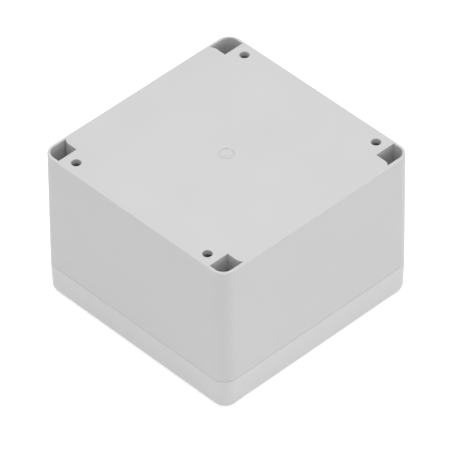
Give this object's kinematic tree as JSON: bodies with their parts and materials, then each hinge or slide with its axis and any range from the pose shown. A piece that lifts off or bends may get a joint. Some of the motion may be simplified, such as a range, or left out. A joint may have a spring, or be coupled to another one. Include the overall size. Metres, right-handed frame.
{
  "type": "sealed project box",
  "caption": "Square moulded plastic enclosure with a deep base, a shallow screwed lid, a gasket, open screw columns and wall mounting holes.",
  "frame": {"origin": "centre of the lid's outer face, which the box stands on", "axes": "+Z from the lid to the closed face of the base, +X across the width, +Y along the length"},
  "size_m": [0.1214, 0.122, 0.085],
  "materials": {
    "base_plastic": "fine matt moulded",
    "lid_plastic": "fine matt moulded",
    "gasket_rubber": "matt",
    "washer_nylon": "satin",
    "screw_steel": "satin",
    "insert_brass": "satin"
  },
  "bodies": {
    "lid": {"lid": "lid_plastic", "gasket": "gasket_rubber"},
    "base": {"base": "base_plastic", "threaded_insert_front_left": "insert_brass", "threaded_insert_front_right": "insert_brass", "threaded_insert_rear_right": "insert_brass", "threaded_insert_rear_left": "insert_brass"},
    "screw_washer_front_left": {"screw_washer_front_left": "washer_nylon"},
    "lid_screw_front_left": {"lid_screw_front_left": "screw_steel"},
    "screw_washer_front_right": {"screw_washer_front_right": "washer_nylon"},
    "lid_screw_front_right": {"lid_screw_front_right": "screw_steel"},
    "screw_washer_rear_right": {"screw_washer_rear_right": "washer_nylon"},
    "lid_screw_rear_right": {"lid_screw_rear_right": "screw_steel"},
    "screw_washer_rear_left": {"screw_washer_rear_left": "washer_nylon"},
    "lid_screw_rear_left": {"lid_screw_rear_left": "screw_steel"}
  },
  "joints": [
    {"name": "base_lift", "type": "slide", "parent": "lid", "child": "base", "axis": [0, 0, 1], "range_m": [0, 0.1]},
    {"name": "lid_screw_travel_front_left", "type": "slide", "parent": "lid", "child": "screw_washer_front_left", "axis": [0, 0, -1], "range_m": [0, 0.0084]},
    {"name": "lid_screw_turn_front_left", "type": "hinge", "parent": "screw_washer_front_left", "child": "lid_screw_front_left", "pos_m": [-0.05442, -0.05344, 0.0116], "axis": [0, 0, -1], "range_deg": [0, 4320.5]},
    {"name": "lid_screw_travel_front_right", "type": "slide", "parent": "lid", "child": "screw_washer_front_right", "axis": [0, 0, -1], "range_m": [0, 0.0084]},
    {"name": "lid_screw_turn_front_right", "type": "hinge", "parent": "screw_washer_front_right", "child": "lid_screw_front_right", "pos_m": [0.05442, -0.05344, 0.0116], "axis": [0, 0, -1], "range_deg": [0, 4320.5]},
    {"name": "lid_screw_travel_rear_right", "type": "slide", "parent": "lid", "child": "screw_washer_rear_right", "axis": [0, 0, -1], "range_m": [0, 0.0084]},
    {"name": "lid_screw_turn_rear_right", "type": "hinge", "parent": "screw_washer_rear_right", "child": "lid_screw_rear_right", "pos_m": [0.05442, 0.05344, 0.0116], "axis": [0, 0, -1], "range_deg": [0, 4320.5]},
    {"name": "lid_screw_travel_rear_left", "type": "slide", "parent": "lid", "child": "screw_washer_rear_left", "axis": [0, 0, -1], "range_m": [0, 0.0084]},
    {"name": "lid_screw_turn_rear_left", "type": "hinge", "parent": "screw_washer_rear_left", "child": "lid_screw_rear_left", "pos_m": [-0.05442, 0.05344, 0.0116], "axis": [0, 0, -1], "range_deg": [0, 4320.5]}
  ],
  "couplings": [
    {"joint": "lid_screw_turn_front_left", "follows": "lid_screw_travel_front_left", "rad_per_m": 8976},
    {"joint": "lid_screw_turn_front_right", "follows": "lid_screw_travel_front_right", "rad_per_m": 8976},
    {"joint": "lid_screw_turn_rear_right", "follows": "lid_screw_travel_rear_right", "rad_per_m": 8976},
    {"joint": "lid_screw_turn_rear_left", "follows": "lid_screw_travel_rear_left", "rad_per_m": 8976}
  ]
}
